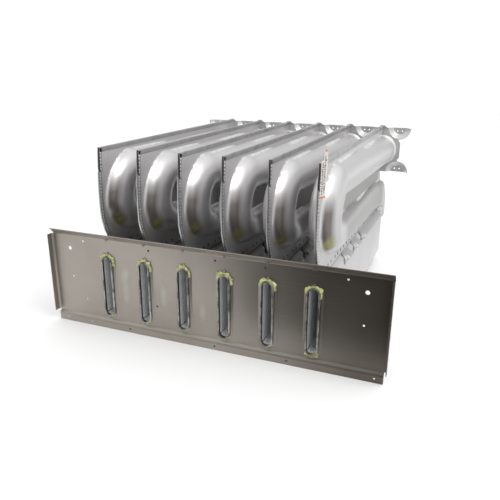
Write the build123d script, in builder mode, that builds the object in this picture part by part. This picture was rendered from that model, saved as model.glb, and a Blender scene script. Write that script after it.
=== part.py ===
"""Six-cell clamshell furnace heat exchanger, in millimetres.

Origin: centre of the row of outlet slots, on the front face of the coupling panel.
X runs to the right along the panel, Y runs back along the cells, Z is up.
"""
from build123d import *
import os
from math import cos, radians, sin

# Cell row
cell_count = 6
cell_pitch = 76.2
sheet = 1.0
fit_gap = 0.1

# Front of pass 1, the round burner tube, which the front bend and the top edge go by
tube_front_height = 205.5

# Cell outline in its parting plane
edge_top = tube_front_height + 45.0
edge_bottom = -76.0
edge_front_top = -2.0
edge_front = -9.0
knuckle_height = edge_top - 35.5
bow_height = 165.0
bow_bottom = 131.0
edge_tuck = 6.0
tuck_height = 92.0
knuckle_front = -5.5
bow_bottom_front = -8.0
edge_rear = 602.0
edge_rear_top = 549.0
shoulder_low = (602.0, 92.0)
shoulder_mid = (562.0, 116.0)
shoulder_high = (549.0, 150.0)
hem_width = 8.0
hem_end = 70.0

# Pass 1 towards the rear
inlet_height = 195.0
tube_radius = 30.8
tube_sides = 16
tube_overrun = 20.0
tube_lean = 5.5

# Front bend round a nose, and pass 2 behind it, as one channel that grows shallower rearwards
nose_depth = 105.0
nose_height = tube_front_height - 48.5
nose_radius = 18.0
nose_steps = 2
bend_radii = (79.0, 93.0, 102.0, 95.0, 71.0)
channel_lap = 45.0
return_end = 520.0
return_top = 129.5
return_bottom = 61.5
channel_slope = 1.0
channel_height = 22.5
channel_draws = ((27.0, 6.0), (8.7, 11.5))

# Rear turn, pass 3 and the tongues along its top
form_root = 8.0
turn_draw = 7.0
chamber_draw = 4.2
tongue_draw = 6.5
turn_depth = 15.0
turn_front = 500.0
turn_rear = 592.0
turn_top = 128.0
turn_bottom = 25.0
turn_knee = 546.0
turn_shoulder = 84.0
turn_foot = 75.0
turn_inner = 556.0
chamber_top = 57.0
chamber_bottom = -64.0
chamber_front_bottom = -57.0
chamber_start = 14.0
tongue_depth = 14.0
tongue_top = 55.5
tongue_bottom = 30.0
tongue_spans = ((172.0, 225.0), (248.0, 300.0), (322.0, 546.0))

# Outlet neck and its flared lip
outlet_half_width = 9.0
outlet_half_height = 56.0
outlet_corner = 5.3
outlet_overlap = 30.0
lip_width = 2.2
lip_corner = 6.5
lip_depth = 4.0

# Flared lip of the inlet neck
flare_height = 3.5
flare_depth = 1.4

# Coupling panel
panel_width = 622.0
panel_gauge = 1.2
panel_top = 88.5
face_bottom = -64.0
panel_bottom = -83.0
step_forward = 5.0
step_drop = 4.0
top_lip_reach = 10.0
end_notch = 4.5
flange_reach = 12.0
flange_bend = 3.5
sheet_bend = 1.5
slot_clearance = 0.3
emboss_half_width = 16.0
emboss_half_height = 62.0
emboss_height = 1.5
emboss_corner = 9.0

# Panel holes
corner_hole_radius = 3.6
corner_hole_span = 544.0
corner_hole_height = 62.6
screw_hole_radius = 1.9
top_hole_span = 484.0
top_hole_height = 79.0

# Inlet plate
plate_front = 555.0
plate_gauge = 1.2
plate_top = inlet_height + 51.0
plate_bottom = inlet_height - 50.4
plate_clearance = 0.5
tab_top = plate_top + 5.0
tab_width = 8.0
tab_base = 26.0
dish_sides = 8
dish_radius = 24.0
dish_land = 1.5
dish_lean = 0.9
dish_root = 1.0
dish_depth = 10.0

# Sealant round the ends of each outlet lip
smear_width = 3.7
smear_corner = 6.5
smear_rise = 2.2
smear_top_from = 46.0
smear_bottom_from = -48.0

# Label strip on the front edge of the last cell
label_gauge = 0.5
label_width = 8.4
label_shoulder_width = 10.4
label_bottom = edge_top - 52.0
label_shoulder = edge_top + 2.5
label_tip = edge_top + 18.5
label_tip_inner = 5.0
label_tip_outer = 9.8
label_angle = 45.0
label_setback = 1.0

cell_centres = [(i - (cell_count - 1) / 2) * cell_pitch for i in range(cell_count)]
mid_planes = [(i - cell_count / 2) * cell_pitch for i in range(cell_count + 1)]
dish_rows = [(x, z) for x in mid_planes for z in (plate_top, plate_bottom)]
os.makedirs("parts", exist_ok=True)


def save(solid, name):
    """Label a finished piece and write it."""
    solid.label = name
    export_step(solid, f"parts/{name}.step")


def cut_corners(points, size):
    """The corners of an upright four-sided outline, each cut off at 45 degrees."""
    (left, top), (right, _), (_, bottom), (_, front_bottom) = points
    return (
        (left + size, top),
        (right - size, top),
        (right, top - size),
        (right, bottom + size),
        (right - size, bottom),
        (left + size, front_bottom),
        (left, front_bottom + size),
        (left, top - size),
    )


def slot_outline(half_width, half_height, corner):
    """Corners of a tall outline with its corners cut off, about the origin."""
    return cut_corners(
        (
            (-half_width, half_height),
            (half_width, half_height),
            (half_width, -half_height),
            (-half_width, -half_height),
        ),
        corner,
    )


def channel_outline():
    """Outline of the front bend and pass 2, about the middle of the nose."""
    step = 180 / (len(bend_radii) - 1)
    bend = [
        (radius * cos(radians(90 + i * step)), radius * sin(radians(90 + i * step)))
        for i, radius in enumerate(bend_radii)
    ]
    nose_step = 180 / nose_steps
    nose = [
        (nose_radius * cos(radians(270 - i * nose_step)), nose_radius * sin(radians(270 - i * nose_step)))
        for i in range(nose_steps + 1)
    ]
    end = return_end - nose_depth
    return (
        [(channel_lap, bend_radii[0] - 1)]
        + bend
        + [(end, return_bottom - nose_height), (end, return_top - nose_height)]
        + nose
        + [(channel_lap, nose_radius)]
    )


def pressed(plane, outline, inset, depth, draws):
    """A form pressed out from a plane, shrunk by the inset, its wall leaning in by each draw in turn."""
    with BuildPart() as form:
        with BuildSketch(plane.offset(-form_root)):
            with BuildLine():
                Polyline(*outline, close=True)
            make_face()
            offset(amount=-inset, kind=Kind.INTERSECTION)
        extrude(amount=form_root + depth - inset)
        for run, lean in draws:
            top = form.faces().sort_by(Axis(plane.origin, plane.z_dir))[-1]
            chamfer(top.edges(), length=lean, length2=run or depth - inset, reference=top)
    return form.part


def gas_space(inset):
    """Half of one cell's gas space, right of its parting plane, shrunk by the inset."""
    neck_end = plate_front + plate_gauge + fit_gap + flare_depth
    outlet_end = emboss_height + fit_gap + lip_depth
    slope = radians(channel_slope)
    channel_plane = Plane(
        (0, nose_depth, nose_height),
        x_dir=(-sin(slope), cos(slope), 0),
        z_dir=(cos(slope), sin(slope), 0),
    )
    turn = (
        (turn_front, turn_top),
        (turn_knee, turn_top),
        (turn_rear, turn_shoulder),
        (turn_rear, turn_bottom),
        (turn_inner, turn_bottom),
        (turn_inner, chamber_top),
        (turn_front, turn_foot),
    )
    chamber = (
        (chamber_start, chamber_top),
        (turn_rear, chamber_top),
        (turn_rear, chamber_bottom),
        (chamber_start, chamber_front_bottom),
    )
    forms = [
        pressed(channel_plane, channel_outline(), inset, channel_height, channel_draws),
        pressed(Plane.YZ, turn, inset, turn_depth, ((0, turn_draw),)),
        pressed(Plane.YZ, chamber, inset, outlet_half_width, ((0, chamber_draw),)),
    ]
    for start, end in tongue_spans:
        tongue = (
            (start, tongue_top),
            (end, tongue_top),
            (end, tongue_bottom),
            (start, tongue_bottom),
        )
        forms.append(pressed(Plane.YZ, tongue, inset, tongue_depth, ((0, tongue_draw),)))
    with BuildPart() as space:
        # Pass 1, leaning towards the parting plane at the front, and on through the inlet plate
        tube_run = Vector(tube_lean, plate_front - nose_depth, inlet_height - tube_front_height)
        with BuildSketch(Plane((-tube_lean, nose_depth, tube_front_height), x_dir=(0, 0, 1), z_dir=tube_run)):
            RegularPolygon(tube_radius - inset, tube_sides)
        extrude(amount=tube_run.length + tube_overrun)
        split(bisect_by=Plane.XZ.offset(-neck_end - 2 * inset), keep=Keep.TOP)
        # Outlet neck
        with BuildSketch(Plane.XZ.offset(-chamber_start - outlet_overlap)):
            with BuildLine():
                half_width = outlet_half_width - inset
                half_height = outlet_half_height - inset
                Polyline(*slot_outline(half_width, half_height, outlet_corner), close=True)
            make_face()
        extrude(amount=chamber_start + outlet_overlap + outlet_end + 2 * inset)
        split(bisect_by=Plane.YZ, keep=Keep.TOP)
        # Front bend with pass 2, rear turn, pass 3 and the tongues
        for form in forms:
            add(form)
        split(bisect_by=Plane.YZ, keep=Keep.TOP)
    return space.part


def web_outline(trim):
    """Outline of a cell half in the parting plane, front and top edges drawn in by the trim."""
    front = edge_tuck + trim
    top = edge_top - trim
    with BuildSketch(Plane.YZ) as outline:
        with BuildLine():
            Polyline(
                (edge_front_top + trim, top),
                (knuckle_front + trim, knuckle_height),
                (edge_front + trim, bow_height),
                (bow_bottom_front + trim, bow_bottom),
                (front, tuck_height),
                (front, edge_bottom),
                (edge_rear, edge_bottom),
                shoulder_low,
                shoulder_mid,
                shoulder_high,
                (edge_rear_top, top),
                close=True,
            )
        make_face()
    return outline.sketch


# Formed half of a cell with the lips that hold it to the panel and the plate
with BuildPart() as formed_half:
    add(gas_space(0))
    with BuildSketch(Plane.XZ.offset(emboss_height + fit_gap)):
        with BuildLine():
            half_width = outlet_half_width + lip_width
            half_height = outlet_half_height + lip_width
            Polyline(*slot_outline(half_width, half_height, lip_corner), close=True)
        make_face()
    extrude(amount=lip_depth)
    # Flared lip behind the plate
    with BuildSketch(Plane.XZ.offset(-(plate_front + plate_gauge + fit_gap))):
        with Locations((0, inlet_height)):
            RegularPolygon(tube_radius + flare_height, tube_sides, rotation=90)
    extrude(amount=-flare_depth)
    split(bisect_by=Plane.YZ, keep=Keep.TOP)

inner_space = gas_space(sheet)

# Right half stamping, drawn in so that its edge lies inside the hem
with BuildPart() as right_half:
    extrude(web_outline(sheet + fit_gap), amount=sheet)
    add(formed_half.part)
    add(inner_space, mode=Mode.SUBTRACT)

# Hem of the left half, folded round the front and top edges of the right half
with BuildPart() as hem:
    extrude(web_outline(0), amount=2 * sheet)
    extrude(web_outline(sheet), amount=sheet, mode=Mode.SUBTRACT)
    extrude(web_outline(hem_width), amount=2 * sheet, mode=Mode.SUBTRACT)
    split(bisect_by=Plane.XY.offset(hem_end), keep=Keep.TOP)

# Left half stamping
with BuildPart() as left_half:
    extrude(web_outline(0), amount=-sheet)
    add(mirror(formed_half.part, about=Plane.YZ))
    add(mirror(inner_space, about=Plane.YZ), mode=Mode.SUBTRACT)
    add(hem.part)

for number, x in enumerate(cell_centres, 1):
    with BuildPart() as right_shell:
        with Locations((x, 0, 0)):
            add(right_half.part)
    save(right_shell.part, f"cell_{number}_right_shell")
    with BuildPart() as left_shell:
        with Locations((x, 0, 0)):
            add(left_half.part)
    save(left_shell.part, f"cell_{number}_left_shell")

# Coupling panel
with BuildPart() as coupling_panel:
    # Face with its side flanges
    with BuildSketch(Plane.XY.offset(face_bottom)):
        with BuildLine():
            outer = Polyline(
                (-panel_width / 2, -flange_reach),
                (-panel_width / 2, panel_gauge - flange_bend),
                (flange_bend - panel_width / 2, panel_gauge),
                (panel_width / 2 - flange_bend, panel_gauge),
                (panel_width / 2, panel_gauge - flange_bend),
                (panel_width / 2, -flange_reach),
            )
            offset(outer, amount=-panel_gauge, side=Side.RIGHT, kind=Kind.INTERSECTION)
        make_face()
    extrude(amount=panel_top - sheet_bend - face_bottom)
    # Lip along the top and stepped strip along the bottom
    strip_length = panel_width - 2 * end_notch
    with BuildSketch(Plane.YZ.offset(-strip_length / 2)):
        with BuildLine():
            lip = FilletPolyline(
                (0, panel_top - sheet_bend),
                (0, panel_top),
                (-top_lip_reach, panel_top + top_lip_reach),
                radius=sheet_bend,
            )
            offset(lip, amount=panel_gauge, side=Side.RIGHT)
        make_face()
        with BuildLine():
            strip = FilletPolyline(
                (0, face_bottom),
                (0, face_bottom - sheet_bend),
                (-step_forward, face_bottom - step_drop),
                (-step_forward, panel_bottom),
                radius=sheet_bend / 2,
            )
            offset(strip, amount=panel_gauge, side=Side.LEFT)
        make_face()
    extrude(amount=strip_length)
    # Embossed surround of each slot
    for x in cell_centres:
        with BuildSketch(Plane.XZ.offset(-panel_gauge).move(Location((x, 0, 0)))):
            with BuildLine():
                Polyline(*slot_outline(emboss_half_width, emboss_half_height, emboss_corner), close=True)
            make_face()
        extrude(amount=panel_gauge + emboss_height)
        with BuildSketch(Plane.XZ.offset(-panel_gauge).move(Location((x, 0, 0)))):
            with BuildLine():
                Polyline(*slot_outline(emboss_half_width, emboss_half_height, emboss_corner), close=True)
            make_face()
            offset(amount=-panel_gauge, kind=Kind.INTERSECTION)
        extrude(amount=emboss_height, mode=Mode.SUBTRACT)
    # Outlet slots
    with BuildSketch(mode=Mode.PRIVATE) as slot_hole:
        with BuildLine():
            half_width = outlet_half_width + slot_clearance
            half_height = outlet_half_height + slot_clearance
            Polyline(*slot_outline(half_width, half_height, outlet_corner), close=True)
        make_face()
    with BuildSketch(Plane.XZ.offset(-panel_gauge)):
        with Locations(*[(x, 0) for x in cell_centres]):
            add(slot_hole.sketch)
    extrude(amount=panel_gauge + 2 * emboss_height, mode=Mode.SUBTRACT)
    # Round holes
    with BuildSketch(Plane.XZ.offset(-panel_gauge)):
        with Locations((0, corner_hole_height)):
            with GridLocations(corner_hole_span, 1, 2, 1):
                Circle(corner_hole_radius)
        with Locations((0, top_hole_height)):
            with GridLocations(top_hole_span, 1, 2, 1):
                Circle(screw_hole_radius)
    extrude(amount=panel_gauge, mode=Mode.SUBTRACT)
save(coupling_panel.part, "coupling_panel")

# Half dishes of the inlet plate: the sheet behind and the recess in front
dish_forms = []
for land, depth in ((dish_land, dish_depth + plate_gauge), (0, dish_depth)):
    with BuildPart() as dish:
        with BuildSketch(Plane.XZ.offset(dish_root - plate_front)):
            RegularPolygon(dish_radius + land, dish_sides)
        extrude(amount=-depth - dish_root)
        floor = dish.faces().sort_by(Axis.Y)[-1]
        chamfer(floor.edges(), length=dish_lean * depth, length2=depth, reference=floor)
        split(bisect_by=Plane.XZ.offset(-plate_front), keep=Keep.BOTTOM)
    dish_forms.append(dish.part)
dish_back, dish_front = dish_forms

# Inlet plate
with BuildPart() as inlet_plate:
    with BuildSketch(Plane.XZ.offset(-(plate_front + plate_gauge))):
        with Locations((0, (plate_top + plate_bottom) / 2)):
            Rectangle(cell_count * cell_pitch, plate_top - plate_bottom)
        with Locations(*[(x, z) for x in (mid_planes[0], mid_planes[-1]) for z in (plate_top, plate_bottom)]):
            RegularPolygon(dish_radius + dish_land, dish_sides)
        with Locations(*[(x, inlet_height) for x in cell_centres]):
            RegularPolygon(tube_radius + plate_clearance, tube_sides, rotation=90, mode=Mode.SUBTRACT)
    extrude(amount=plate_gauge)
    # Open half dishes, pressed back from both long edges
    for x, z in dish_rows:
        for form, mode in ((dish_back, Mode.ADD), (dish_front, Mode.SUBTRACT)):
            with Locations((x, 0, z)):
                add(form, mode=mode)
    split(bisect_by=Plane.XY.offset(plate_top), keep=Keep.BOTTOM)
    split(bisect_by=Plane.XY.offset(plate_bottom), keep=Keep.TOP)
    # Tab over each cell
    with BuildSketch(Plane.XZ.offset(-(plate_front + plate_gauge))):
        for x in cell_centres:
            with BuildLine():
                Polyline(
                    (x - tab_base / 2, plate_top),
                    (x - tab_width / 2, tab_top),
                    (x + tab_width / 2, tab_top),
                    (x + tab_base / 2, plate_top),
                    close=True,
                )
            make_face()
    extrude(amount=plate_gauge)
save(inlet_plate.part, "inlet_plate")

# Sealant smeared round the top and bottom of each outlet lip
for number, x in enumerate(cell_centres, 1):
    with BuildPart() as slot_sealant:
        with BuildSketch(Plane.XZ.offset(emboss_height)):
            for spread, corner, mode in (
                (smear_width, smear_corner + smear_width / 2, Mode.ADD),
                (fit_gap, smear_corner, Mode.SUBTRACT),
            ):
                half_width = outlet_half_width + lip_width + spread
                half_height = outlet_half_height + lip_width + spread
                with BuildLine(mode=Mode.PRIVATE) as ring:
                    Polyline(*slot_outline(half_width, half_height, corner), close=True)
                with Locations((x, 0)):
                    add(make_face(ring.edges(), mode=Mode.PRIVATE), mode=mode)
            with Locations((x, (smear_top_from + smear_bottom_from) / 2)):
                Rectangle(cell_pitch / 2, smear_top_from - smear_bottom_from, mode=Mode.SUBTRACT)
        extrude(amount=smear_rise)
    save(slot_sealant.part, f"slot_{number}_sealant")

# Label strip standing off the front edge of the last cell
label_plane = Plane(
    (cell_centres[-1] + 2 * sheet + fit_gap, edge_front_top + label_setback, 0),
    x_dir=(cos(radians(label_angle)), sin(radians(label_angle)), 0),
    z_dir=(sin(radians(label_angle)), -cos(radians(label_angle)), 0),
)
with BuildPart() as label_strip:
    with BuildSketch(label_plane):
        with BuildLine():
            Polyline(
                (0, label_bottom),
                (label_width, label_bottom),
                (label_shoulder_width, label_shoulder),
                (label_tip_outer, label_tip),
                (label_tip_inner, label_tip),
                (label_tip_inner - 1, label_shoulder),
                (0, label_shoulder),
                close=True,
            )
        make_face()
    extrude(amount=label_gauge)
save(label_strip.part, "label_strip")
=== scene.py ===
import math

import bpy
import numpy as np
from mathutils import Matrix, Vector


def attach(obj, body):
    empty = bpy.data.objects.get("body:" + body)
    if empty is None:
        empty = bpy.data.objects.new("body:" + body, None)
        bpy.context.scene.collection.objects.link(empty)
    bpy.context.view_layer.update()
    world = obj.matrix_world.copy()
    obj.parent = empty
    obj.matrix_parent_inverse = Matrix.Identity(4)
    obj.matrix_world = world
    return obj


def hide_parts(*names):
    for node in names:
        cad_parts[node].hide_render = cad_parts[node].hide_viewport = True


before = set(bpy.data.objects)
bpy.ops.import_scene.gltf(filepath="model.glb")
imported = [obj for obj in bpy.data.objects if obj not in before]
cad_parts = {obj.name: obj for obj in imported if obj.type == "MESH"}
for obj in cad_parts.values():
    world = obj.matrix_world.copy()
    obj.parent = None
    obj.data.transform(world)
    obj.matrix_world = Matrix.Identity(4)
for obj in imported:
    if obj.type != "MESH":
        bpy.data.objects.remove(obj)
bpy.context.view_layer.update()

MM = 0.001
PITCH = 76.2
CELLS = [(i - 2.5) * PITCH for i in range(6)]
MIDS = [(i - 3) * PITCH for i in range(7)]
SHEET = 1.0

# Outline of a cell in its parting plane, in millimetres
FRONT_Z = (-76, 92, 99, 103, 111, 121, 131, 148, 165, 181, 198, 208, 211, 215, 250.5)
FRONT_Y = (6, 6, 4, 1, -2, -5.5, -8, -8.9, -9, -8.4, -7.5, -6.6, -4.6, -5.2, -2)
REAR_Z = (-76, -72, -66, -60, 75, 92, 116, 140, 148, 150, 250.5)
REAR_Y = (588, 596, 600.5, 602, 602, 602, 568, 556, 552, 549, 549)
FORE, AFT = -9, 602
TOP = 250.5
BOTTOM = -76.0

# Passes of a cell; a pair holds a size behind the nose and its change by the rear end
PASS_LENGTH = 435
TUBE_Z = (205.5, -10.5)
TUBE_HALF = (30.5, 0.5)
TUBE_DEPTH = (25, 6)
INLET_Z = 195
CHANNEL_TOP = (139, -10)
CHANNEL_LOW_Y = (105, 200, 400, 545)
CHANNEL_LOW_Z = (86, 80, 72, 62)
CHANNEL_DEPTH = (20.5, -5.0)
CHANNEL_END = 530
CHAMBER_FRONT, CHAMBER_REAR = 14, 590
CHAMBER_HALF, CHAMBER_DROP, CHAMBER_HEIGHT = 57, 7, 8.8
FALL = 1.6

# Front bend: its outer radius by the angle round the nose, its depth by the share of the half turn
NOSE = (105.0, 157.0)
NOSE_RADIUS = 18.0
NOSE_BLEND = 90
BEND_ANGLE = (90, 101, 112.7, 137.3, 156.3, 173.7, 184, 194.4, 207.9, 220, 232, 248, 264, 270)
BEND_RADIUS = (79, 82, 85.6, 91, 97.2, 100.6, 101.2, 100.2, 96.2, 89.5, 81.2, 74, 70, 70)
BEND_BLUR = 19
BEND_SWING = (0, 0.45, 0.75, 1)
BEND_DEPTH = (25, 25, 23.5, 20.5)
BEND_ROOT = 1.6
LEDGE_WIDTH, LEDGE_HEIGHT = 3.2, 2.6

# Rear turn; tongues as (start, end, lowest Z); the moat runs round the end of the last tongue
TURN_FRONT, TURN_INNER, TURN_REAR = 486, 556, 592
TURN_LOW, TURN_TOP, TURN_CORNER = 26, 130, 676
TURN_HEIGHT = 15.2
TONGUES = ((172, 225, 40), (248, 300, 40), (322, 545, 36))
TONGUE_TOP, TONGUE_HEIGHT, TONGUE_CORNER = 56.5, 16.0, 8
SCALLOP_HEIGHT, SCALLOP_PITCH = 1.8, 24.0
MOAT = ((455, 65), (500, 62.5), (541, 59), (549, 54.5), (551, 46), (551, 32), (547, 27))

# Hem, necks and stitches; a section point is (inwards, out of the web), a profile point (Y, radius or spread)
HEM_LOW = 70
HEM_SECTION = (
    (8.2, 1.1), (8.2, 1.85), (7.6, 2.05), (6.2, 2.05), (4.7, 2.05), (3.2, 2.05), (1.4, 2.05),
    (0.35, 1.7), (0.0, 1.1), (0.0, -0.3), (0.35, -0.85), (1.4, -1.08), (8.2, -1.06), (8.2, -0.6),
)
CRIMP_PITCH, CRIMP_RADIUS, CRIMP_HEIGHT = 5.6, 1.35, 0.9
INLET_PROFILE = (
    (536, 30.95), (550.4, 31.0), (551.2, 32.6), (552.2, 34.4), (553.3, 34.9), (554.3, 34.4),
    (554.9, 32.6), (555.0, 31.1), (556.4, 31.1), (556.6, 33.2), (556.9, 34.1), (557.4, 34.2),
    (557.65, 33.4), (557.2, 30.6), (556.2, 30.0), (536, 29.9),
)
OUTLET_PROFILE = (
    (18, 0.0), (-1.9, 0.0), (-1.75, 0.7), (-1.8, 1.5), (-2.3, 2.1), (-3.4, 2.25), (-4.6, 2.0),
    (-5.4, 1.2), (-5.6, 0.2), (-5.2, -0.6), (-1.0, -1.0), (18, -1.0),
)
OUTLET_HALF = (9, 56)
LANCES = (74, 94, 123, 142, 165, 189, 213, 237, 261, 284, 330, 377)
LANCE_Z = (70.5, 64.5)

# Places of the materials in a cell's list and in the label's list
ON_CELL, ON_LIP, ON_SHADE, ON_SCALE, ON_HEM, ON_PAINTED_HIGHLIGHT = range(6)
ON_PAPER, ON_INK, ON_ORANGE, ON_PINK = range(4)


# Mesh helpers
def grid_faces(rows, cols, closed=False, start=0):
    """Quads over a grid of points, row after row; closed joins the last column to the first."""
    i = np.arange(rows - 1)[:, None] * cols
    j = np.arange(cols if closed else cols - 1)[None, :]
    k = (j + 1) % cols
    quads = np.stack([i + j, i + k, i + cols + k, i + cols + j], axis=-1)
    return (quads.reshape(-1, 4) + start).tolist()


class Build:
    """Points and faces of one piece, gathered part by part, in millimetres."""

    def __init__(self):
        self.points, self.faces, self.marks, self.count = [], [], [], 0

    def add(self, points, faces, flip=False, mark=0):
        points = np.asarray(points, float).reshape(-1, 3)
        self.points.append(points)
        for f in faces:
            f = [v + self.count for v in f]
            self.faces.append(f[::-1] if flip else f)
        self.marks += [mark] * len(faces)
        self.count += len(points)

    def grid(self, points, closed=False, flip=False, mark=0):
        points = np.asarray(points, float)
        rows, cols = points.shape[:2]
        self.add(points, grid_faces(rows, cols, closed), flip, mark)

    def sweep(self, points, flip=False, caps=True, mark=0):
        """A closed section, one row for each place along the way, with its two ends filled."""
        points = np.asarray(points, float)
        rows, cols = points.shape[:2]
        faces = grid_faces(rows, cols, True)
        if caps:
            faces.append(list(range(cols - 1, -1, -1)))
            faces.append([(rows - 1) * cols + i for i in range(cols)])
        self.add(points, faces, flip, mark)

    def finish(self, name, materials, nodes=(), angle=38.0, smooth=True):
        mesh = bpy.data.meshes.new(name)
        mesh.from_pydata((np.concatenate(self.points) * MM).tolist(), [], self.faces)
        mesh.update()
        if smooth:
            mesh.polygons.foreach_set("use_smooth", [True] * len(mesh.polygons))
            mesh.set_sharp_from_angle(angle=math.radians(angle))
        for material in materials:
            mesh.materials.append(material)
        mesh.polygons.foreach_set("material_index", self.marks)
        piece = bpy.data.objects.new(name, mesh)
        bpy.context.scene.collection.objects.link(piece)
        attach(piece, "root")
        if nodes:
            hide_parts(*nodes)
        return piece


def ease(x):
    x = np.clip(x, 0, 1)
    return x * x * (3 - 2 * x)


def smooth_max(a, b, k):
    gap = np.clip(1 - np.abs(a - b) / k, 0, 1)
    return np.maximum(a, b) + k / 4 * gap * gap


def smooth_min(a, b, k):
    return -smooth_max(-a, -b, k)


def dome(t, width, height, power=2.0, root=2.0):
    """Height across a rounded form: t is -1 to 1 across it, width its half width."""
    inside = height * np.clip(1 - np.abs(t) ** power, 0, 1) ** (1 / root)
    return np.where(np.abs(t) < 1, inside, -(np.abs(t) - 1) * width * FALL)


def plateau(depth_in, height, width):
    """Height of a flat-topped form, from the distance inside its outline."""
    inside = height * np.sin(np.clip(depth_in / width, 0, 1) * math.pi / 2)
    return np.where(depth_in > 0, inside, depth_in * FALL)


def box_depth(y, z, y0, y1, z0, z1, radius):
    """Distance inside a rectangle with rounded corners."""
    qy = np.abs(y - (y0 + y1) / 2) - (y1 - y0) / 2 + radius
    qz = np.abs(z - (z0 + z1) / 2) - (z1 - z0) / 2 + radius
    outside = np.hypot(np.maximum(qy, 0), np.maximum(qz, 0))
    return radius - outside - np.minimum(np.maximum(qy, qz), 0)


def path_distance(y, z, points):
    """Distance to a line of straight runs."""
    best = np.full(y.shape, 1e9)
    for (ay, az), (by, bz) in zip(points, points[1:]):
        dy, dz = by - ay, bz - az
        t = np.clip(((y - ay) * dy + (z - az) * dz) / (dy * dy + dz * dz), 0, 1)
        best = np.minimum(best, np.hypot(y - ay - t * dy, z - az - t * dz))
    return best


# Form of one cell half: how far its outer face stands off the parting plane
def bend_table():
    """The front bend's outer radius at each degree of its half turn, smoothed."""
    angles = np.linspace(90, 270, 181)
    radii = np.interp(angles, BEND_ANGLE, BEND_RADIUS)
    kernel = np.hanning(BEND_BLUR)
    pad = BEND_BLUR // 2
    padded = np.concatenate([np.full(pad, radii[0]), radii, np.full(pad, radii[-1])])
    return angles, np.convolve(padded, kernel / kernel.sum(), "valid")


def taper(pair, share):
    return pair[0] + pair[1] * share


def pass_dome(across, half, depth, power, root, near):
    """A pass behind the nose, whose section starts as the bend's and turns into its own."""
    as_bend = dome(across, half, depth, power, BEND_ROOT)
    return as_bend * (1 - near) + dome(across, half, depth, power, root) * near


def cell_height(y, z):
    run = np.clip((y - NOSE[0]) / PASS_LENGTH, 0, 1)
    near = ease((y - NOSE[0]) / NOSE_BLEND)
    # Burner tube
    half = taper(TUBE_HALF, run)
    across = (z - taper(TUBE_Z, run)) / half
    tube = pass_dome(across, half, taper(TUBE_DEPTH, ease(run)), 2.0, 2.0, near)
    # Return channel
    top = taper(CHANNEL_TOP, run)
    low = np.interp(y, CHANNEL_LOW_Y, CHANNEL_LOW_Z)
    half = (top - low) / 2
    across = (z - (top + low) / 2) / half
    channel = pass_dome(across, half, taper(CHANNEL_DEPTH, ease(run * 1.05)), 2.3, 2.1, near)
    channel = smooth_min(channel, (CHANNEL_END - y) * 0.9, 6)
    # Front bend round the nose, with a ledge along its rim
    dy, dz = y - NOSE[0], z - NOSE[1]
    angle = np.degrees(np.arctan2(dz, dy)) % 360
    radius = np.hypot(dy, dz)
    swing = np.clip((angle - 90) / 180, 0, 1)
    edge = np.interp(angle, *bend_table())
    ledge = ease((angle - 112) / 60) * ease((268 - angle) / 40)
    rim = edge - LEDGE_WIDTH * ledge
    half = (rim - NOSE_RADIUS) / 2
    across = (radius - (rim + NOSE_RADIUS) / 2) / half
    bend = dome(across, half, np.interp(swing, BEND_SWING, BEND_DEPTH), 2.0 + 0.3 * swing, BEND_ROOT)
    shelf = plateau(edge - radius, LEDGE_HEIGHT, 3.0)
    shelf = np.where(ledge > 0.01, shelf * ledge - 6 * (1 - ledge), -6)
    shelf = smooth_min(shelf, (radius - 50) * 0.8, 4)
    bend = smooth_max(bend, shelf, 3.0)
    form = np.where(y < NOSE[0], bend, smooth_max(tube, channel, 2.0))
    # Rear turn, which stops above the long tongue
    above = 0.26 * (y - 500) + 0.966 * (z - 72)
    turn = smooth_min(TURN_TOP - z, (TURN_CORNER - y - z) / math.sqrt(2), 10)
    turn = smooth_min(turn, TURN_REAR - y, 10)
    turn = smooth_min(turn, z - TURN_LOW, 8)
    turn = smooth_min(turn, np.maximum(y - TURN_INNER, above), 4)
    turn = smooth_min(turn, y - TURN_FRONT, 10)
    form = smooth_max(form, plateau(turn, TURN_HEIGHT, 8.5), 3.0)
    # Outlet chamber, a little taller towards the rear
    drop = CHAMBER_DROP * np.clip((y - CHAMBER_FRONT) / (CHAMBER_REAR - CHAMBER_FRONT), 0, 1)
    chamber = np.minimum(CHAMBER_HALF - z, z + CHAMBER_HALF + drop)
    chamber = smooth_min(chamber, CHAMBER_REAR - y, 6)
    form = smooth_max(form, plateau(chamber, CHAMBER_HEIGHT, 5.5), 1.5)
    # Tongues along the top of the chamber, each with a groove round its tip; the long one is scalloped
    long_start = TONGUES[-1][0]
    scallop = SCALLOP_HEIGHT * np.abs(np.sin(math.pi * (y - long_start) / SCALLOP_PITCH))
    for start, end, low in TONGUES:
        shift = scallop if start == long_start else 0.0
        tongue = box_depth(y, z - shift, start, end, low, TONGUE_TOP - shift, TONGUE_CORNER)
        groove = np.exp(-((tongue + 2.2) / 1.8) ** 2) * 4.0 * ease((start + 14 - y) / 10)
        form = np.maximum(form - groove * (form > 3), SHEET)
        form = smooth_max(form, plateau(tongue, TONGUE_HEIGHT, 7.5), 1.0)
    moat = path_distance(y, z, MOAT)
    form = np.minimum(form, np.maximum(SHEET, (moat - 3.0) * 2.6 + SHEET))
    return smooth_max(form, np.full_like(form, SHEET), 2.4)


def lines(*spans):
    """Grid lines over spans given as (start, end, step)."""
    parts = [np.linspace(a, b, max(2, round((b - a) / step) + 1))[:-1] for a, b, step in spans]
    values = np.concatenate(parts + [[spans[-1][1]]])
    return values if len(values) % 2 else np.delete(values, -2)


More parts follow.
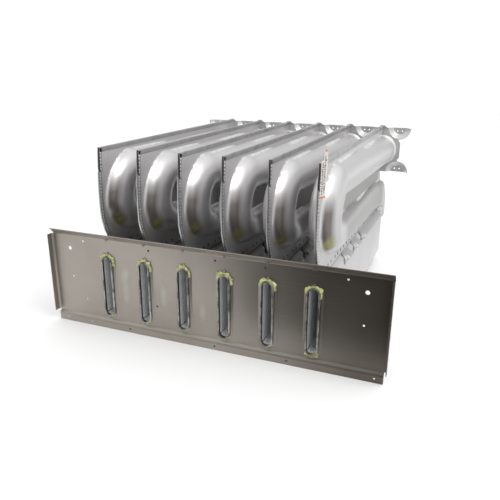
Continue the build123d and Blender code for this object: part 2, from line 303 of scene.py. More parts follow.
def shell_surface(build, x, side, trim):
    """A cell half: fine outer face, plainer inner face and the edge between them."""
    fine = 1.0
    zs = lines((BOTTOM, -52, 3.2 * fine), (-52, 22, 6.0), (22, 142, 2.5 * fine), (142, TOP - trim, 2.7 * fine))
    ys = lines((FORE, 112, 1.9 * fine), (112, 480, 4.0 * fine), (480, AFT, 2.5 * fine))
    share = (ys - FORE) / (AFT - FORE)
    z = np.repeat(zs[:, None], len(ys), 1)
    front = np.interp(zs, FRONT_Z, FRONT_Y) + trim
    rear = np.interp(zs, REAR_Z, REAR_Y)
    y = front[:, None] + (rear - front)[:, None] * share[None, :]
    height = cell_height(y, z)
    outer = np.stack([x + side * height, y, z], -1)
    inner = np.stack([x + side * np.maximum(height - SHEET, 0.02), y, z], -1)[::2, ::2]
    flip = side > 0
    outer_first = build.count
    build.grid(outer, flip=flip, mark=ON_CELL)
    inner_first = build.count
    build.grid(inner, flip=not flip, mark=ON_SCALE)
    # Two steps of the outer border stand against one of the inner
    rows, cols = outer.shape[:2]
    inner_cols = inner.shape[1]
    border = [(0, j) for j in range(cols)] + [(i, cols - 1) for i in range(1, rows)]
    border += [(rows - 1, j) for j in range(cols - 2, -1, -1)] + [(i, 0) for i in range(rows - 2, -1, -1)]
    edge = []
    for k in range(0, len(border) - 1, 2):
        a0, a1, a2 = (outer_first + i * cols + j for i, j in border[k:k + 3])
        b0, b2 = (inner_first + i // 2 * inner_cols + j // 2 for i, j in (border[k], border[k + 2]))
        edge += [[a0, a1, b0], [a1, b2, b0], [a1, a2, b2]]
    for f in edge:
        build.faces.append(f if flip else f[::-1])
        build.marks.append(ON_CELL)


def hem_path():
    """Points along the front edge and the top edge, with the direction inwards."""
    zs = np.arange(HEM_LOW, TOP + 0.1, 1.25)
    front = np.stack([np.interp(zs, FRONT_Z, FRONT_Y), zs], -1)
    reach = np.arange(0.5, REAR_Y[-1] + 0.1, 1.5)
    top = np.stack([reach, np.full(len(reach), TOP)], -1)
    path = np.concatenate([front, [[-1.2, TOP - 0.2]], top])
    step = np.gradient(path, axis=0)
    step /= np.linalg.norm(step, axis=1)[:, None]
    inward = np.stack([step[:, 1], -step[:, 0]], -1)
    return path, inward


def dimple(build, centre, radius, height):
    """A small crimp standing to the right of a hem, drawn in the painted highlight material."""
    turn = np.radians(np.arange(0, 360, 60))
    rows = []
    for share, lift in ((1.0, 0.0), (0.75, 0.6), (0.35, 0.95)):
        rows.append(np.stack([
            np.full(6, centre[0] + height * lift),
            centre[1] + radius * share * np.cos(turn),
            centre[2] + radius * share * np.sin(turn)], -1))
    build.sweep(rows, mark=ON_PAINTED_HIGHLIGHT)


def hem(build, x):
    """The left half's edge, folded round the right half, with a row of crimps down its front."""
    path, inward = hem_path()
    rows = []
    for n, height in HEM_SECTION:
        point = path + inward * n
        rows.append(np.stack([np.full(len(point), x + height), point[:, 0], point[:, 1]], -1))
    build.sweep(np.stack(rows, 1), flip=True, mark=ON_HEM)
    run = np.concatenate([[0], np.cumsum(np.linalg.norm(np.diff(path, axis=0), axis=1))])
    front_end = run[path[:, 1] < TOP - 1][-1]
    for place in np.arange(12, front_end - 4, CRIMP_PITCH):
        k = int(np.searchsorted(run, place))
        y, z = path[k] + inward[k] * 3.6
        dimple(build, (x + 1.95, y, z), CRIMP_RADIUS, CRIMP_HEIGHT)


def inlet_neck(build, x, side):
    """Half of the round neck, with its stop bead and its flared lip."""
    turn = np.radians(np.linspace(-90, 90, 29))[:, None]
    reach, radius = np.array(INLET_PROFILE).T[:, None, :]
    wide = x + side * radius * np.cos(turn)
    build.sweep(np.stack([wide, reach + 0 * turn, INLET_Z + radius * np.sin(turn)], -1), flip=side > 0)


def half_slot(half_width, half_height, steps=9):
    """Right half of a slot's outline, from its bottom to its top, as (x, z)."""
    low = np.radians(np.linspace(-90, 0, steps))
    reach = half_height - half_width
    lower = np.stack([half_width * np.cos(low), -reach + half_width * np.sin(low)], -1)
    return np.concatenate([lower, lower[::-1] * (1, -1)])


def outlet_neck(build, x, side):
    """Half of the outlet's neck, with its rolled lip in front of the panel."""
    columns = []
    for y, spread in OUTLET_PROFILE:
        line = half_slot(OUTLET_HALF[0] + spread, OUTLET_HALF[1] + spread)
        columns.append(np.stack([x + side * line[:, 0], np.full(len(line), float(y)), line[:, 1]], -1))
    build.sweep(np.stack(columns, 1), flip=side < 0, mark=ON_LIP)
    # The roll throws a dark line on the neck's wall, and the foot of the wall catches the light
    size = len(OUTLET_PROFILE)
    roll, wall = size - 3, size - 2
    rows = len(columns[0]) - 1
    bright_rows, dark_from = 5, 6
    first = len(build.marks) - rows * size - 2
    for i in range(dark_from, rows):
        build.marks[first + i * size + roll] = ON_SHADE
        build.marks[first + i * size + wall] = ON_SCALE
    for i in range(bright_rows):
        build.marks[first + i * size + wall] = ON_PAINTED_HIGHLIGHT


# Materials
def node(tree, kind, **inputs):
    made = tree.nodes.new(kind)
    for key, value in inputs.items():
        if key in made.inputs:
            made.inputs[key].default_value = value
        else:
            setattr(made, key, value)
    return made


class Finish:
    """A procedural material built up in steps on a Principled shader."""

    def __init__(self, name, colour, metallic, roughness):
        self.material = bpy.data.materials.new(name)
        self.material.use_nodes = True
        self.tree = self.material.node_tree
        self.shader = self.tree.nodes["Principled BSDF"]
        self.shader.inputs["Base Color"].default_value = (*colour, 1)
        self.shader.inputs["Metallic"].default_value = metallic
        self.shader.inputs["Roughness"].default_value = roughness
        self.colour = None
        self.plain = (*colour, 1)
        self.where = self.tree.nodes.new("ShaderNodeTexCoord").outputs["Object"]
        self.bump = None

    def link(self, a, b):
        self.tree.links.new(a, b)

    def noise(self, scale, stretch=(1, 1, 1), detail=4.0, rough=0.55, shift=(0, 0, 0)):
        place = node(self.tree, "ShaderNodeMapping")
        place.inputs["Scale"].default_value = stretch
        place.inputs["Location"].default_value = shift
        self.link(self.where, place.inputs["Vector"])
        made = node(self.tree, "ShaderNodeTexNoise", Scale=scale, Detail=detail, Roughness=rough)
        self.link(place.outputs["Vector"], made.inputs["Vector"])
        return made.outputs["Fac"]

    def ramp(self, source, low, high, out_low=0.0, out_high=1.0):
        made = node(self.tree, "ShaderNodeMapRange", clamp=True)
        for key, value in zip(("From Min", "From Max", "To Min", "To Max"), (low, high, out_low, out_high)):
            made.inputs[key].default_value = value
        self.link(source, made.inputs["Value"])
        return made.outputs["Result"]

    def math(self, operation, a, b):
        made = node(self.tree, "ShaderNodeMath", operation=operation)
        for slot, value in zip(made.inputs, (a, b)):
            if isinstance(value, (int, float)):
                slot.default_value = value
            else:
                self.link(value, slot)
        return made.outputs["Value"]

    def product(self, first, *others):
        for other in others:
            first = self.math("MULTIPLY", first, other)
        return first

    def band(self, source, low, high, rise, fall):
        """1 between two places along an axis, with soft ends inside them, in millimetres."""
        return self.product(self.ramp(source, low * MM, (low + rise) * MM),
                            self.ramp(source, high * MM, (high - fall) * MM))

    def axis(self, name):
        made = node(self.tree, "ShaderNodeSeparateXYZ")
        self.link(self.where, made.inputs["Vector"])
        return made.outputs[name]

    def ball(self, centre, radius, soft, stretch=(1, 1, 1)):
        """1 inside a ball, falling to 0 over its soft edge; centre and sizes in millimetres."""
        place = node(self.tree, "ShaderNodeMapping")
        place.inputs["Location"].default_value = tuple(-c * MM * s for c, s in zip(centre, stretch))
        place.inputs["Scale"].default_value = stretch
        self.link(self.where, place.inputs["Vector"])
        length = node(self.tree, "ShaderNodeVectorMath", operation="LENGTH")
        self.link(place.outputs["Vector"], length.inputs[0])
        return self.ramp(length.outputs["Value"], (radius + soft) * MM, radius * MM)

    def tint(self, colour, amount):
        """Mixes a colour over what is there by an amount from 0 to 1."""
        mix = node(self.tree, "ShaderNodeMix", data_type="RGBA")
        if self.colour is None:
            mix.inputs[6].default_value = self.plain
        else:
            self.link(self.colour, mix.inputs[6])
        mix.inputs[7].default_value = (*colour, 1)
        self.link(amount, mix.inputs[0])
        self.colour = mix.outputs[2]
        self.link(self.colour, self.shader.inputs["Base Color"])

    def rough(self, source):
        self.link(source, self.shader.inputs["Roughness"])

    def relief(self, source, strength, distance):
        made = node(self.tree, "ShaderNodeBump", Strength=strength, Distance=distance)
        self.link(source, made.inputs["Height"])
        if self.bump:
            self.link(self.bump, made.inputs["Normal"])
        self.bump = made.outputs["Normal"]
        self.link(self.bump, self.shader.inputs["Normal"])


def cell_finish():
    made = Finish("cell_steel", (0.64, 0.63, 0.63), 0.74, 0.36)
    along, height = made.axis("Y"), made.axis("Z")
    cloud = made.noise(7.0, detail=2.0)
    grain = made.noise(260.0, (1, 1, 0.06), 2.0)
    made.tint((0.57, 0.56, 0.56), made.ramp(cloud, 0.40, 0.70, 0.0, 0.4))
    made.tint((0.72, 0.71, 0.71), made.ramp(grain, 0.52, 0.75, 0.0, 0.3))
    # Painted shade round the tips of the tongues and along the crease of the seam above them
    for y, z, way in ((180, 48.5, 1), (256, 48.5, 1), (330, 47, 1), (537, 46.5, -1)):
        outer = made.ball((0, y, z), 10.5, 2.5, (0, 1, 1))
        core = made.ball((0, y + way, z + 1), 6.2, 2.0, (0, 1, 1))
        ahead = made.ramp(along, (y + 6 * way) * MM, (y + way) * MM)
        made.tint((0.09, 0.09, 0.09), made.product(made.math("SUBTRACT", outer, core), 0.9, ahead))
    seam = made.product(made.band(height, 57.8, 61.5, 1.4, 1.5), made.ramp(along, 0.55, 0.52), 0.7)
    made.tint((0.13, 0.13, 0.13), seam)
    # Painted dark reflection on the flank of each front bend
    across = made.math("MODULO", made.math("ADD", made.axis("X"), 10 * PITCH * MM), PITCH * MM)
    flank_reflection = made.product(made.band(across, 40.5, 60, 5, 6), made.ramp(along, 0.048, 0.030),
                         made.band(height, 88, 204, 24, 32), 0.9)
    made.tint((0.12, 0.105, 0.095), flank_reflection)
    # Painted shade and dark reflection between the passes and along the return channel
    inside = made.band(along, 112, 550, 23, 30)
    for low, high, amount in ((122, 176, 0.72), (70, 132, 0.5)):
        made.tint((0.27, 0.265, 0.26), made.product(made.band(height, low, high, 10, 10), inside, amount))
    # Darker tongue bodies, with a painted highlight at each tip
    body = made.band(height, 36, 58.2, 6, 2)
    for start, end, _ in TONGUES:
        made.tint((0.36, 0.355, 0.35), made.product(body, made.band(along, start, end, 6, 6), 0.5))
    for y, z in ((184, 50.5), (260, 50.5), (334, 49), (533, 48.5)):
        made.tint((0.97, 0.97, 0.97), made.ball((0, y, z), 1.4, 2.6, (0, 1, 1)))
    # Dull stains at the foot of each front bend
    blotch = made.ramp(made.noise(90.0, detail=4.0), 0.36, 0.54)
    for x in CELLS:
        spot = made.ball((x + 18, 24, 113), 7, 13, (1, 1, 0.8))
        made.tint((0.36, 0.37, 0.10), made.product(spot, blotch, 0.9))
    made.rough(made.ramp(cloud, 0.35, 0.7, 0.34, 0.42))
    made.relief(grain, 0.05, 0.0004)
    return made.material


def hem_finish():
    made = Finish("hem_steel", (0.50, 0.50, 0.50), 1.0, 0.36)
    worn = made.noise(50.0, detail=3.0)
    made.tint((0.30, 0.30, 0.30), made.ramp(worn, 0.45, 0.7, 0.0, 0.5))
    # Painted dark reflection on the upper end of the front edge
    front = made.ramp(made.axis("Y"), -0.0005, -0.0025)
    above = made.ramp(made.axis("Z"), 0.205, 0.212)
    made.tint((0.07, 0.07, 0.07), made.product(front, above, 0.9))
    made.rough(made.ramp(worn, 0.3, 0.7, 0.34, 0.46))
    return made.material


def lip_finish():
    made = Finish("lip_steel", (0.46, 0.46, 0.455), 1.0, 0.4)
    worn = made.noise(60.0, detail=3.0)
    made.tint((0.13, 0.13, 0.125), made.ramp(worn, 0.42, 0.60, 0.0, 0.9))
    made.rough(made.ramp(worn, 0.35, 0.7, 0.3, 0.45))
    made.relief(made.noise(160.0, detail=2.0), 0.10, 0.0004)
    return made.material


def panel_finish():
    made = Finish("panel_steel", (0.37, 0.34, 0.305), 0.9, 0.4)
    cloud = made.noise(6.0, detail=3.0)
    brushed = made.noise(240.0, (0.05, 1, 1), 2.0)
    # Painted dark reflection, growing towards the right end of the panel
    made.tint((0.16, 0.145, 0.125), made.ramp(made.axis("X"), 0.02, 0.27, 0.0, 0.92))
    made.tint((0.28, 0.255, 0.225), made.ramp(cloud, 0.42, 0.66, 0.0, 0.3))
    made.tint((0.42, 0.39, 0.35), made.ramp(brushed, 0.55, 0.75, 0.0, 0.22))
    # More painted dark reflection towards the right end
    made.tint((0.115, 0.10, 0.085), made.ramp(made.axis("X"), 0.14, 0.30, 0.0, 0.85))
    # Faint dried smears beside the slots
    blotch = made.ramp(made.noise(60.0, (1, 1, 0.4), 4.0), 0.36, 0.58)
    for x, z, radius in ((-155.5, -8, 4), (-158, 22, 3), (-153.5, 33, 2), (-78, -2, 4), (-80, 28, 2), (-3, -18, 3)):
        spot = made.ball((x, 0, z), radius, 5, (1, 1, 0.4))
        made.tint((0.50, 0.48, 0.43), made.product(spot, blotch, 0.4))
    made.rough(made.ramp(cloud, 0.35, 0.68, 0.34, 0.46))
    made.relief(brushed, 0.03, 0.0003)
    made.relief(made.noise(4.0, detail=1.0), 0.12, 0.012)
    return made.material


def plate_finish():
    made = Finish("plate_steel", (0.66, 0.66, 0.655), 0.72, 0.34)
    cloud = made.noise(14.0, detail=3.0)
    made.tint((0.50, 0.50, 0.50), made.ramp(cloud, 0.42, 0.66, 0.0, 0.6))
    made.rough(made.ramp(cloud, 0.35, 0.68, 0.28, 0.42))
    made.relief(made.noise(300.0, (1, 1, 0.1)), 0.08, 0.0004)
    return made.material


def paste_finish():
    made = Finish("sealant_paste", (0.40, 0.42, 0.15), 0.0, 0.55)
    cloud = made.noise(110.0, detail=5.0)
    made.tint((0.20, 0.20, 0.09), made.ramp(cloud, 0.48, 0.66, 0.0, 0.9))
    made.tint((0.62, 0.65, 0.32), made.ramp(made.noise(190.0, detail=3.0), 0.5, 0.66, 0.0, 0.85))
    made.rough(made.ramp(cloud, 0.3, 0.7, 0.5, 0.72))
    made.relief(made.noise(320.0, detail=5.0), 0.6, 0.0012)
    return made.material


def paper_finish():
    made = Finish("label_paper", (0.60, 0.57, 0.54), 0.0, 0.55)
    fibre = made.noise(500.0, detail=4.0)
    made.tint((0.46, 0.43, 0.40), made.ramp(fibre, 0.45, 0.72, 0.0, 0.5))
    made.rough(made.ramp(fibre, 0.3, 0.7, 0.45, 0.65))
    return made.material


def flat_finish(name, colour, metallic, roughness, scale=90.0):
    made = Finish(name, colour, metallic, roughness)
    cloud = made.noise(scale, detail=4.0)
    made.tint(tuple(c * 0.7 for c in colour), made.ramp(cloud, 0.45, 0.72, 0.0, 0.7))
    made.rough(made.ramp(cloud, 0.3, 0.7, roughness * 0.85, roughness * 1.15))
    return made.material


CELL = cell_finish()
LIP = lip_finish()
PANEL = panel_finish()
PLATE = plate_finish()
PASTE = paste_finish()
PAPER = paper_finish()
INK = flat_finish("label_ink", (0.03, 0.03, 0.035), 0.0, 0.5)
ORANGE = flat_finish("label_end", (0.52, 0.24, 0.11), 0.0, 0.5)
PINK = flat_finish("label_tip", (0.62, 0.36, 0.31), 0.0, 0.5)
SHADE = flat_finish("lance_shadow", (0.05, 0.05, 0.05), 0.6, 0.5)
SCALE = flat_finish("inner_scale", (0.62, 0.62, 0.63), 0.15, 0.5)
HEM = hem_finish()
# Painted highlight, used on the crimps and on the foot of each outlet neck's wall
PAINTED_HIGHLIGHT = flat_finish("painted_highlight", (0.88, 0.88, 0.88), 0.4, 0.4)


# Cells
def lances(build, x, side):
    """Small stitches pressed through the seam between the return channel and the chamber."""
    outline = ((-1.3, -2.6), (1.3, -2.6), (1.3, 2.6), (-1.3, 2.6))
    for y in LANCES:
        z = np.interp(y, (LANCES[0], LANCES[-1]), LANCE_Z)
        height = float(cell_height(np.array([float(y)]), np.array([z]))[0]) + 0.25
        top = [(x + side * (height + 0.3), y + a * 0.6, z + b * 0.8) for a, b in outline]
        low = [(x + side * (height - 0.4), y + a, z + b) for a, b in outline]
        build.sweep([low, top], flip=side < 0, mark=ON_SHADE)


for number, x in enumerate(CELLS, 1):
    for side, word, trim in ((1, "right", 1.1), (-1, "left", 0.4)):
        build = Build()
        shell_surface(build, x, side, trim)
        inlet_neck(build, x, side)
        outlet_neck(build, x, side)
        lances(build, x, side)
        if side < 0:
            hem(build, x)
        name = f"cell_{number}_{word}_shell"
        build.finish(f"{name}_formed", (CELL, LIP, SHADE, SCALE, HEM, PAINTED_HIGHLIGHT), (name,))


# Sheets with holes
def ring(cx, cz, radius, count=28, start=0.0, end=360.0, closed=True):
    angles = np.radians(np.linspace(start, end, count, endpoint=not closed))
    return np.stack([cx + radius * np.cos(angles), cz + radius * np.sin(angles)], -1)


def at_depth(loop, y):
    """An outline given as (x, z), set at a place along Y."""
    return np.stack([loop[:, 0], np.full(len(loop), y), loop[:, 1]], -1)


def holed_plate(build, loops, front, gauge, mark=0):
    """A flat sheet across Y with an outline and holes, the loops given as (x, z)."""
    curve = bpy.data.curves.new("sheet", "CURVE")
    curve.dimensions = "2D"
    curve.fill_mode = "BOTH"
    curve.extrude = gauge / 2
    for loop in loops:
        spline = curve.splines.new("POLY")
        spline.points.add(len(loop) - 1)
        for point, (px, pz) in zip(spline.points, loop):
            point.co = (px, pz, 0, 1)
        spline.use_cyclic_u = True
    holder = bpy.data.objects.new("sheet", curve)
    mesh = bpy.data.meshes.new_from_object(holder)
    points = [(v.co.x, front + gauge / 2 - v.co.z, v.co.y) for v in mesh.vertices]
    build.add(points, [list(p.vertices) for p in mesh.polygons], mark=mark)
    bpy.data.objects.remove(holder)
    bpy.data.curves.remove(curve)
    bpy.data.meshes.remove(mesh)


def slot_loop(cx, half_width, half_height, corner, steps=7):
    """Tall outline with rounded corners, as (x, z)."""
    parts = []
    for sx, sz, start in ((1, 1, 0), (-1, 1, 90), (-1, -1, 180), (1, -1, 270)):
        middle = (cx + sx * (half_width - corner), sz * (half_height - corner))
        parts.append(ring(*middle, corner, steps, start, start + 90, closed=False))
    return np.concatenate(parts)


def bar(build, section, start, end, mark=0):
    """A (y, z) section run along X."""
    rows = [[(x, y, z) for y, z in section] for x in (start, end)]
    build.sweep(rows, mark=mark)


def button(build, centre, axis, radius, height, mark=0):
    """A low dome standing on a face along an axis."""
    axis = Vector(axis).normalized()
    across = axis.orthogonal().normalized()
    other = axis.cross(across)
    rows = []
    for share in (0.0, 0.3, 0.6, 0.85, 0.98):
        angle = share * math.pi / 2
        r, h = radius * math.cos(angle), height * math.sin(angle)
        circle = [2 * math.pi * i / 16 for i in range(16)]
        rows.append([Vector(centre) + axis * h + (across * math.cos(a) + other * math.sin(a)) * r for a in circle])
    build.sweep(rows, flip=True, mark=mark)


GAUGE = 1.2
HALF_PANEL, FACE_BOTTOM, FACE_TOP, PANEL_TOP = 311.0, -64.0, 87.0, 88.5
FLANGE_BEND, FLANGE_FRONT = 5.0, -12
FLAT_HALF = HALF_PANEL - FLANGE_BEND
LIP_START, LIP_END = -306.5, 310.9
LIP_SECTION = ((0, 86.9), (-0.25, 88.0), (-0.9, 89.0), (-10, 98.4), (-9.15, 99.3), (0.0, 89.7), (0.9, 88.6),
               (1.2, 86.9))
STRIP_HALF, STRIP_BOTTOM, STRIP_TOP, STRIP_FRONT = 306.5, -83, -70.6, -5.0
STEP_SECTION = ((1.2, -64), (1.1, -65.2), (0.4, -66.2), (-3.2, -69), (-3.8, -70), (-3.8, -71), (-5.0, -71),
                (-5.0, -69.2), (-4.6, -68.2), (-0.8, -65.4), (-0.1, -64.8), (0, -64))
# Surround of a slot: half width, half height and corner, and its raised rim as (inwards, Y)
HALO = (16.0, 62.0, 14.0)
SURROUND = ((0.0, 0.0), (0.6, -0.12), (1.5, -0.6), (2.6, -1.2), (3.8, -1.46), (5.0, -1.5))
RAISE = -1.5
SLOT_HOLE = (9.4, 56.4, 9.39)
CORNER_HOLES = ((-272, 62.6), (272, 62.6))
CORNER_HOLE, SMALL_HOLE = 3.6, 1.9
SMALL_HOLES = ((-242, 79), (242, 79), (-270, 7.8), (270, 7.8), (-105, 78.6), (22, 78.4), (110, 78.6),
               (-92.4, -23.1), (-244, -34))
STRIP_HOLES = (-286.6, -233.3, -149.2, 20.4, 150, 292.4)
STRIP_HOLE_Z = -76


def rectangle(x0, x1, z0, z1):
    return np.array([(x0, z0), (x1, z0), (x1, z1), (x0, z1)])


def flange_arc(radius, angles):
    """Part of a side flange's bend, as (x, y)."""
    return [(FLAT_HALF + radius * math.sin(a), GAUGE - FLANGE_BEND + radius * math.cos(a)) for a in angles]


build = Build()
loops = [rectangle(-FLAT_HALF, FLAT_HALF, FACE_BOTTOM, FACE_TOP)]
loops += [slot_loop(x, *HALO) for x in CELLS]
loops += [ring(x, z, CORNER_HOLE) for x, z in CORNER_HOLES]
loops += [ring(x, z, SMALL_HOLE, 16) for x, z in SMALL_HOLES]
holed_plate(build, loops, 0.0, GAUGE)
# Raised surround of each slot, with a gusset bump over it and a dimple in the lip above
for x in CELLS:
    rim = [(slot_loop(x, *(size - inwards for size in HALO)), y) for inwards, y in SURROUND]
    hole = slot_loop(x, *SLOT_HOLE)
    rows = [at_depth(loop, y) for loop, y in rim]
    rows += [at_depth(hole, RAISE), at_depth(hole, RAISE + GAUGE)]
    rows += [at_depth(loop, y + GAUGE) for loop, y in rim[::-1]]
    build.grid(rows, closed=True, flip=True)
    button(build, (x + 0.6, -0.9, 62.6), (0, -1, 0.2), 2.4, 2.6)
    button(build, (x, -0.3, PANEL_TOP - 0.4), (0, -1, 0.9), 3.2, 0.7)
# Side flanges, turned forward round a bend
quarter = np.radians(np.linspace(0, 90, 8))
section = flange_arc(FLANGE_BEND, quarter)
section += [(HALF_PANEL, FLANGE_FRONT), (HALF_PANEL - GAUGE, FLANGE_FRONT)]
section += flange_arc(FLANGE_BEND - GAUGE, quarter[::-1])
for side in (-1, 1):
    rows = [[(side * px, py, z) for px, py in section] for z in (FACE_BOTTOM, FACE_TOP)]
    build.sweep(rows, flip=side > 0)
# Lip along the top, leaning forward, and the stepped strip along the bottom
bar(build, LIP_SECTION, LIP_START, LIP_END)
bar(build, STEP_SECTION, -STRIP_HALF, STRIP_HALF)
loops = [rectangle(-STRIP_HALF, STRIP_HALF, STRIP_BOTTOM, STRIP_TOP)]
loops += [ring(x, STRIP_HOLE_Z, SMALL_HOLE, 16) for x in STRIP_HOLES]
holed_plate(build, loops, STRIP_FRONT, GAUGE)
build.finish("coupling_panel_formed", (PANEL, LIP), ("coupling_panel",))


# Inlet plate with its half dishes
PLATE_FRONT, PLATE_TOP, PLATE_LOW = 555.0, 246.0, 144.6
NECK_HOLE = 31.3
TAB = ((-14, -1), (14, -1), (10, 0), (4, 5), (-4, 5), (-10, 0))
DISH, DISH_DEPTH, DISH_FLOOR = 24.0, 10, 14.6
DISH_PROFILE = (
    (25.5, -0.02), (24.2, 0.0), (23.4, 0.6), (22.6, 1.6), (16.6, 8.6), (15.6, 9.6), (14.4, 10.0),
    (14.4, 11.2), (16.2, 10.9), (17.6, 9.6), (23.8, 2.4), (24.6, 1.3), (25.5, 1.2),
)
SCREW_HOLE, SCREW_SPREAD, SCREW_RISE = 1.8, 5.5, 7.5


def dish(build, x, base, start, stop, sign):
    """A pressed half dish with two screw holes in its floor; sign is the way that it bulges along Z."""
    angles = np.radians(np.linspace(start, stop, 25))[:, None]
    radius, depth = np.array(DISH_PROFILE).T[:, None, :]
    places = [x + radius * np.cos(angles), PLATE_FRONT + depth + 0 * angles, base + radius * np.sin(angles)]
    build.sweep(np.stack(places, -1))
    loops = [ring(x, base, DISH_FLOOR, 21, start, stop, closed=False)]
    loops += [ring(x + dx, base + sign * SCREW_RISE, SCREW_HOLE, 14) for dx in (-SCREW_SPREAD, SCREW_SPREAD)]
    if x == MIDS[0] and sign < 0:
        loops.append(ring(x, base - 3.2, 1.4, 12))
    holed_plate(build, loops, PLATE_FRONT + DISH_DEPTH, GAUGE)


build = Build()
lower = []
for x in MIDS:
    if x == MIDS[0]:
        arc = ring(x, PLATE_LOW, DISH, 11, 90, 0, closed=False)
        lower += [(x - 4, PLATE_LOW + 34), (x, PLATE_LOW + 29), *arc]
    elif x == MIDS[-1]:
        arc = ring(x, PLATE_LOW, DISH, 11, 180, 90, closed=False)
        lower += [*arc, (x, PLATE_LOW + 29), (x + 4, PLATE_LOW + 34)]
    else:
        lower += [*ring(x, PLATE_LOW, DISH, 21, 180, 0, closed=False)]
upper = [(px, PLATE_LOW + PLATE_TOP - pz) for px, pz in lower]
loops = [np.array(lower + upper[::-1])] + [ring(x, INLET_Z, NECK_HOLE, 48) for x in CELLS]
holed_plate(build, loops, PLATE_FRONT, GAUGE)
for x in CELLS:
    holed_plate(build, [np.array(TAB) + (x, PLATE_TOP)], PLATE_FRONT, GAUGE)
for x in MIDS:
    dish(build, x, PLATE_LOW, 0, 180, 1)
    dish(build, x, PLATE_TOP, 180, 360, -1)
build.finish("inlet_plate_formed", (PLATE,), ("inlet_plate",))


# Sealant smears
SMEAR_STEPS = 46
SMEAR_RADIUS = 10.6
SMEAR_FOOT = -1.3


def smear(build, rng, x, angle_start, angle_end, base, width):
    """An uneven bead along part of the lip's outline, between two angles in degrees from +X."""
    angles = np.radians(np.linspace(angle_start, angle_end, SMEAR_STEPS))
    place = np.arange(SMEAR_STEPS)
    blur = np.hanning(5) / 2
    wide = width * (0.35 + 1.3 * np.convolve(rng.random(SMEAR_STEPS + 4) ** 1.5, blur, "valid"))
    wide *= ease(np.minimum(place, place[::-1]) / 4.0) * 0.75 + 0.25
    shift = np.convolve(rng.random(SMEAR_STEPS + 4) - 0.5, blur, "valid") * 3.4
    rows = []
    for a, w, s in zip(angles, wide, shift):
        direction = np.array([math.cos(a), math.sin(a)])
        centre = np.array([x, base]) + direction * (SMEAR_RADIUS + s * 0.4)
        tall = 1.5 + rng.random() * 0.6
        row = []
        for k in range(9):
            t = k / 8
            px, pz = centre + direction * ((t - 0.38) * w)
            row.append((px, SMEAR_FOOT - tall * math.sin(math.pi * t) ** 0.7, pz))
        rows.append(row)
    build.sweep(rows, flip=True)


for number, x in enumerate(CELLS, 1):
    rng = np.random.default_rng(40 + number)
    build = Build()
    smear(build, rng, x, 188, -38, 47, 8.5)
    smear(build, rng, x, 178, 90, 48, 4.5)
    smear(build, rng, x, 205, 335, -47, 8.5 if number == 6 else 5.0)
    build.finish(f"slot_{number}_sealant_smear", (PASTE,), (f"slot_{number}_sealant",), angle=80)


# Label strip with plain printed bars
LABEL_PLACE = np.array([CELLS[-1] + 2.1, -1.0])
LABEL_TURN = math.radians(45)
LABEL_GAUGE = 0.5
LABEL_WIDTH, LABEL_SHOULDER = 8.4, 10.4
LABEL_FOOT, PAPER_LOW, SHOULDER_Z, TIP_LOW, LABEL_TIP = 198.5, 201.5, 253, 266, 269
PRINT = (0.45, 0.56)
along = np.array([math.cos(LABEL_TURN), math.sin(LABEL_TURN)])
out = np.array([math.sin(LABEL_TURN), -math.cos(LABEL_TURN)])


def label_point(u, z, lift):
    x, y = LABEL_PLACE + along * u + out * lift
    return x, y, z


def label_block(build, near, far, z0, z1, lifts, mark, near_end=None, far_end=None):
    """A flat block on the strip between two edges, which may end at other places than they start."""
    near_end = near if near_end is None else near_end
    far_end = far if far_end is None else far_end
    low, high = lifts
    rows = []
    for share in np.linspace(0, 1, 9):
        a, b = near + (near_end - near) * share, far + (far_end - far) * share
        z = z0 + (z1 - z0) * share
        rows.append([label_point(u, z, lift) for u, lift in ((a, low), (b, low), (b, high), (a, high))])
    build.sweep(rows, mark=mark)


build = Build()
BODY = (0, LABEL_GAUGE)
label_block(build, 0, LABEL_WIDTH, PAPER_LOW, SHOULDER_Z, BODY, ON_PAPER, 0, LABEL_SHOULDER)
label_block(build, 0, LABEL_WIDTH, LABEL_FOOT, PAPER_LOW, BODY, ON_ORANGE)
label_block(build, 4.0, LABEL_SHOULDER, SHOULDER_Z, TIP_LOW, BODY, ON_PAPER, 4.8, 9.9)
label_block(build, 4.8, 9.9, TIP_LOW, LABEL_TIP, BODY, ON_PINK, 5.0, 9.8)
rng = np.random.default_rng(7)
for left, right, low, high in ((0.9, 3.6, 204, 251), (4.3, 7.4, 207, 262)):
    z = low
    while z < high:
        size = 0.5 + rng.random() * 1.3
        lean = max(0.0, z - 240) * 0.06
        start = left + rng.random() * 0.8 + lean
        end = min(right + lean, start + 1.4 + rng.random() * 1.8)
        label_block(build, start, end, z, z + size, PRINT, ON_INK)
        z += size + 0.5 + rng.random() * 0.9
label_block(build, 6.6, 8.2, 266.8, 268.2, PRINT, ON_INK)
build.finish("label_strip_printed", (PAPER, INK, ORANGE, PINK), ("label_strip",))


# Floor, light and camera, in metres
FLOOR_Z, FLOOR_HALF = -0.0832, 6.0
STUDIO_WHITE = 1.1


def plain_material(name, colour, roughness):
    made = Finish(name, colour, 0.0, roughness)
    made.tint(tuple(c * 0.98 for c in colour), made.ramp(made.noise(3.0), 0.3, 0.7))
    return made.material


floor_mesh = bpy.data.meshes.new("floor")
corners = [(sx * FLOOR_HALF, sy * FLOOR_HALF, FLOOR_Z) for sx, sy in ((-1, -1), (1, -1), (1, 1), (-1, 1))]
floor_mesh.from_pydata(corners, [], [(0, 1, 2, 3)])
floor_mesh.materials.append(plain_material("floor_pale", (0.93, 0.93, 0.93), 0.9))
floor = bpy.data.objects.new("floor", floor_mesh)
bpy.context.scene.collection.objects.link(floor)

world = bpy.data.worlds.new("studio")
world.use_nodes = True
world.node_tree.nodes["Background"].inputs["Color"].default_value = (1, 1, 1, 1)
world.node_tree.nodes["Background"].inputs["Strength"].default_value = STUDIO_WHITE
bpy.context.scene.world = world


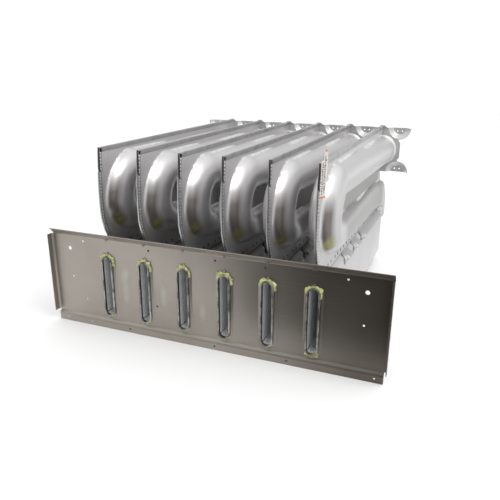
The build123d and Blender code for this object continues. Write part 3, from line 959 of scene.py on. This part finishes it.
def area(name, place, target, size, power):
    lamp = bpy.data.lights.new(name, "AREA")
    lamp.shape = "RECTANGLE"
    lamp.size, lamp.size_y = size
    lamp.energy = power
    lit = bpy.data.objects.new(name, lamp)
    lit.location = place
    lit.rotation_euler = (Vector(target) - Vector(place)).to_track_quat("-Z", "Y").to_euler()
    bpy.context.scene.collection.objects.link(lit)


def soft_card(name, corners, shade, fades):
    """A board that only reflections see; outside its fades, each (axis, start, end), it is the studio's white."""
    made = Finish(name, (0, 0, 0), 0.0, 1.0)
    amount = made.product(*(made.ramp(made.axis(axis), start, end) for axis, start, end in fades))
    mix = node(made.tree, "ShaderNodeMix", data_type="RGBA")
    mix.inputs[6].default_value = (STUDIO_WHITE, STUDIO_WHITE, STUDIO_WHITE, 1)
    mix.inputs[7].default_value = (shade, shade, shade, 1)
    made.link(amount, mix.inputs[0])
    made.link(mix.outputs[2], made.shader.inputs["Emission Color"])
    made.shader.inputs["Emission Strength"].default_value = 1.0
    mesh = bpy.data.meshes.new(name)
    mesh.from_pydata(corners, [], [range(len(corners))])
    mesh.materials.append(made.material)
    card = bpy.data.objects.new(name, mesh)
    bpy.context.scene.collection.objects.link(card)
    card.visible_camera = card.visible_diffuse = card.visible_shadow = False
    card.visible_transmission = card.visible_volume_scatter = False


CARD_Z = -0.0825


def lying(*places):
    """Corners of a card that lies just over the floor."""
    return [(x, y, CARD_Z) for x, y in places]


def standing(x0, x1, y, z0, z1):
    return [(x0, y, z0), (x1, y, z0), (x1, y, z1), (x0, y, z1)]


soft_card("flag_floor", lying((0.03, -0.12), (-0.28, -0.6), (-2.2, -3.5), (3.4, -3.5), (1.5, -0.7), (0.33, -0.08)),
          0.03, [("X", 1.7, 0.85)])
soft_card("flag_front", standing(-4, 3, -3.5, CARD_Z, 4.0), 0.04,
          [("X", 2.6, 1.4), ("Z", 3.8, 1.9), ("X", -3.9, -2.6)])
soft_card("flag_back", standing(-5, 6, 3, 0.1, 2.4), 0.62, [("Z", 0.1, 0.6), ("Z", 2.4, 1.2)])
soft_card("flag_side", lying((0.24, 0.2), (2.4, 0.2), (2.4, 3), (0.24, 3)), 0.72, [("X", 0.22, 0.30)])
area("key", (1.0, -0.25, 1.6), (0, 0.05, 0.15), (1.0, 0.8), 11)
bpy.context.scene.view_settings.view_transform = "Standard"

# The camera as solved from the photograph
AZIMUTH, ELEVATION, ROLL = (math.radians(angle) for angle in (21.85, 18.61, 0.33))
CAMERA_PLACE = (0.390694, -0.766727, 0.383151)
level = math.cos(ELEVATION)
back = Vector((math.sin(AZIMUTH) * level, -math.cos(AZIMUTH) * level, math.sin(ELEVATION)))
right = Vector((math.cos(AZIMUTH), math.sin(AZIMUTH), 0))
up = back.cross(right)
right, up = right * math.cos(ROLL) + up * math.sin(ROLL), up * math.cos(ROLL) - right * math.sin(ROLL)
lens = bpy.data.cameras.new("camera")
lens.sensor_width = 36
lens.lens = 39.72
lens.clip_start, lens.clip_end = 0.05, 50
camera = bpy.data.objects.new("camera", lens)
camera.matrix_world = Matrix.Translation(CAMERA_PLACE) @ Matrix((right, up, back)).transposed().to_4x4()
bpy.context.scene.collection.objects.link(camera)
bpy.context.scene.camera = camera

bpy.context.view_layer.update()
